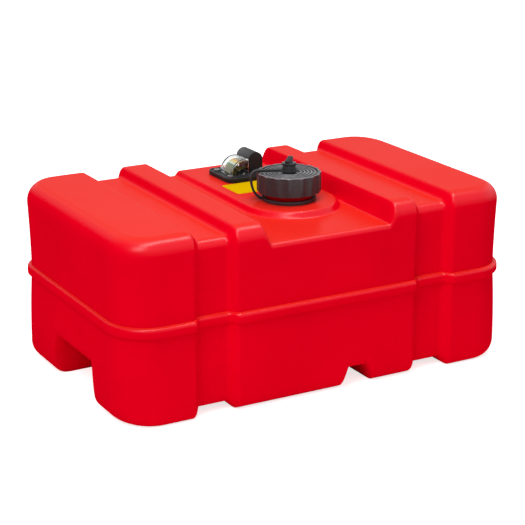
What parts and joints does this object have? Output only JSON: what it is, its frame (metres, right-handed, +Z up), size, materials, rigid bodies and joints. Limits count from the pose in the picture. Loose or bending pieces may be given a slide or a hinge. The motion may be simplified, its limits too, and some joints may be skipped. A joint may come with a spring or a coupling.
{
  "type": "outboard fuel tank",
  "caption": "Rectangular portable boat fuel tank with tethered vented screw cap, float gauge, outlet tower, strap grooves and end hand holds",
  "frame": {"origin": "middle of the bounding box at its base, on the surface the tank stands on", "axes": "+X along the tank towards its right end, +Y from the front wall with the filler side towards the back wall, +Z up"},
  "size_m": [0.62, 0.384, 0.3017],
  "materials": {
    "red_plastic": "satin rotomoulded polyethylene",
    "black_plastic": "moulded, semi matt",
    "charcoal_plastic": "moulded, semi matt",
    "black_rubber": "smooth",
    "clear_lens": "clear moulded window",
    "yellow_label": "printed film",
    "dial": "printed drum",
    "brass": "turned",
    "steel": "stainless",
    "float_foam": "closed cell foam",
    "white_plastic": "natural"
  },
  "bodies": {
    "tank": {"tank_shell": "red_plastic", "screw_inserts": "brass", "label_plate": "yellow_label", "tether_collar": "black_plastic", "gauge_gasket": "black_rubber", "gauge_base": "charcoal_plastic", "gauge_screws": "steel", "gauge_lens": "clear_lens", "dial_axle": "steel", "arm_pin": "steel", "outlet_tower": "charcoal_plastic", "port_insert": "brass", "pickup_tube": "white_plastic", "pickup_strainer": "brass"},
    "tether": {"tether_strap": "black_rubber", "tether_eye": "black_rubber"},
    "cap": {"cap_shell": "black_plastic", "cap_gasket": "black_rubber"},
    "vent_seal": {"vent_washer": "black_rubber"},
    "vent": {"vent_knob": "black_plastic", "vent_stem": "black_plastic"},
    "float": {"arm_hub": "charcoal_plastic", "float_arm": "steel", "fuel_float": "float_foam"},
    "dial": {"gauge_dial": "dial"}
  },
  "joints": [
    {"name": "cap_rise", "type": "slide", "parent": "tank", "child": "tether", "axis": [0, 0, 1], "range_m": [0, 0.015], "deforming": ["tether_strap"]},
    {"name": "cap_turn", "type": "hinge", "parent": "tether", "child": "cap", "pos_m": [0.023, -0.036, 0.27], "axis": [0, 0, 1], "range_deg": [0, 900]},
    {"name": "vent_rise", "type": "slide", "parent": "cap", "child": "vent_seal", "axis": [0, 0, 1], "range_m": [0, 0.003]},
    {"name": "vent_turn", "type": "hinge", "parent": "vent_seal", "child": "vent", "pos_m": [0.023, -0.036, 0.295], "axis": [0, 0, 1], "range_deg": [0, 720]},
    {"name": "float_swing", "type": "hinge", "parent": "tank", "child": "float", "pos_m": [0.021, 0.111, 0.215], "axis": [0, 1, 0], "range_deg": [0, 60]},
    {"name": "dial_turn", "type": "hinge", "parent": "tank", "child": "dial", "pos_m": [0.021, 0.111, 0.247], "axis": [0, 1, 0], "range_deg": [-60, 0]}
  ],
  "couplings": [
    {"joint": "cap_rise", "follows": "cap_turn", "m_per_rad": 0.00095493},
    {"joint": "vent_rise", "follows": "vent_turn", "m_per_rad": 0.00023873},
    {"joint": "dial_turn", "follows": "float_swing", "ratio": -1}
  ]
}
